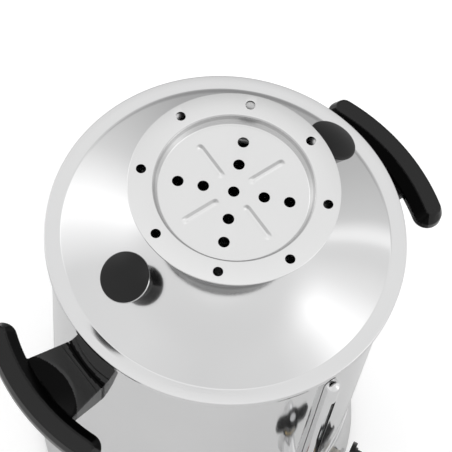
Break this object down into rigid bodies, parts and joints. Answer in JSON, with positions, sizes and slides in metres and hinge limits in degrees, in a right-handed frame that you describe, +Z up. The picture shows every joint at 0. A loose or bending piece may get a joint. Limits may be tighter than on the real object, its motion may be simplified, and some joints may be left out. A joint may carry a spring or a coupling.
{
  "type": "samovar",
  "caption": "Electric samovar: polished steel tank on a flared base, domed lid with knobs and a pierced teapot crown, black side handles, front tap under a sight gauge.",
  "frame": {"origin": "on the tank's axis, level with the undersides of the rubber feet", "axes": "+Z up along the tank's axis, -Y out of the tap, +X along the right-hand handle as seen from the front"},
  "size_m": [0.366, 0.3411, 0.449],
  "materials": {
    "polished_steel": "mirror-polished stainless steel sheet",
    "plain_steel": "plain stainless steel",
    "chrome_trim": "chrome-plated brass",
    "brass": "bare turned brass",
    "element_sheath": "dull element sheath",
    "black_moulding": "black heat-proof moulding with a satin gloss",
    "pale_moulding": "pale heat-proof moulding",
    "rubber": "black rubber",
    "glass": "clear glass tube",
    "lens": "amber lens"
  },
  "bodies": {
    "base": {"tank": "polished_steel", "tank_floor": "polished_steel", "base_skirt": "polished_steel", "seat_ring": "plain_steel", "bottom_plate": "plain_steel", "plate_screws": "plain_steel", "feet": "rubber", "foot_screws": "plain_steel", "foot_nuts": "plain_steel", "tie_studs": "plain_steel", "tie_nuts": "plain_steel", "handle_left": "black_moulding", "handle_right": "black_moulding", "handle_screws": "plain_steel", "handle_washers": "rubber", "tap_body": "chrome_trim", "tap_gasket": "rubber", "tap_washer": "rubber", "tap_nut": "brass", "gauge_guard": "chrome_trim", "gauge_glass": "glass", "gauge_upper_fitting": "chrome_trim", "gauge_lower_fitting": "chrome_trim", "gauge_washers": "rubber", "gauge_nuts": "brass", "glass_seals": "rubber", "heating_element": "element_sheath", "element_gaskets": "rubber", "element_nuts": "brass", "thermowell": "plain_steel", "sensor_bulb": "brass", "capillary": "brass", "thermostat_body": "pale_moulding", "thermostat_nut": "plain_steel", "lamp_holder": "black_moulding", "pilot_lens": "lens", "boil_dry_cutout": "pale_moulding", "terminal_block": "pale_moulding", "power_inlet": "black_moulding", "inlet_pins": "brass"},
    "lid": {"lid": "polished_steel", "lid_knob_left": "black_moulding", "lid_knob_right": "black_moulding", "knob_screws": "plain_steel", "knob_washers": "plain_steel"},
    "crown": {"crown_plate": "polished_steel", "crown_neck": "polished_steel"},
    "tap_key": {"tap_plug": "brass", "tap_clip": "plain_steel", "tap_lever": "black_moulding", "tap_lever_screw": "plain_steel"},
    "dial": {"thermostat_shaft": "plain_steel", "thermostat_knob": "black_moulding"}
  },
  "joints": [
    {"name": "lid_lift", "type": "slide", "parent": "base", "child": "lid", "axis": [0, 0, 1], "range_m": [0, 0.15]},
    {"name": "crown_lift", "type": "slide", "parent": "lid", "child": "crown", "axis": [0, 0, 1], "range_m": [0, 0.1]},
    {"name": "tap_turn", "type": "hinge", "parent": "base", "child": "tap_key", "pos_m": [0, -0.167, 0.128], "axis": [0, 0, 1], "range_deg": [0, 90]},
    {"name": "dial_turn", "type": "hinge", "parent": "base", "child": "dial", "pos_m": [0.06901, -0.12979, 0.052], "axis": [0.4695, -0.8829, 0], "range_deg": [-270, 0]}
  ]
}
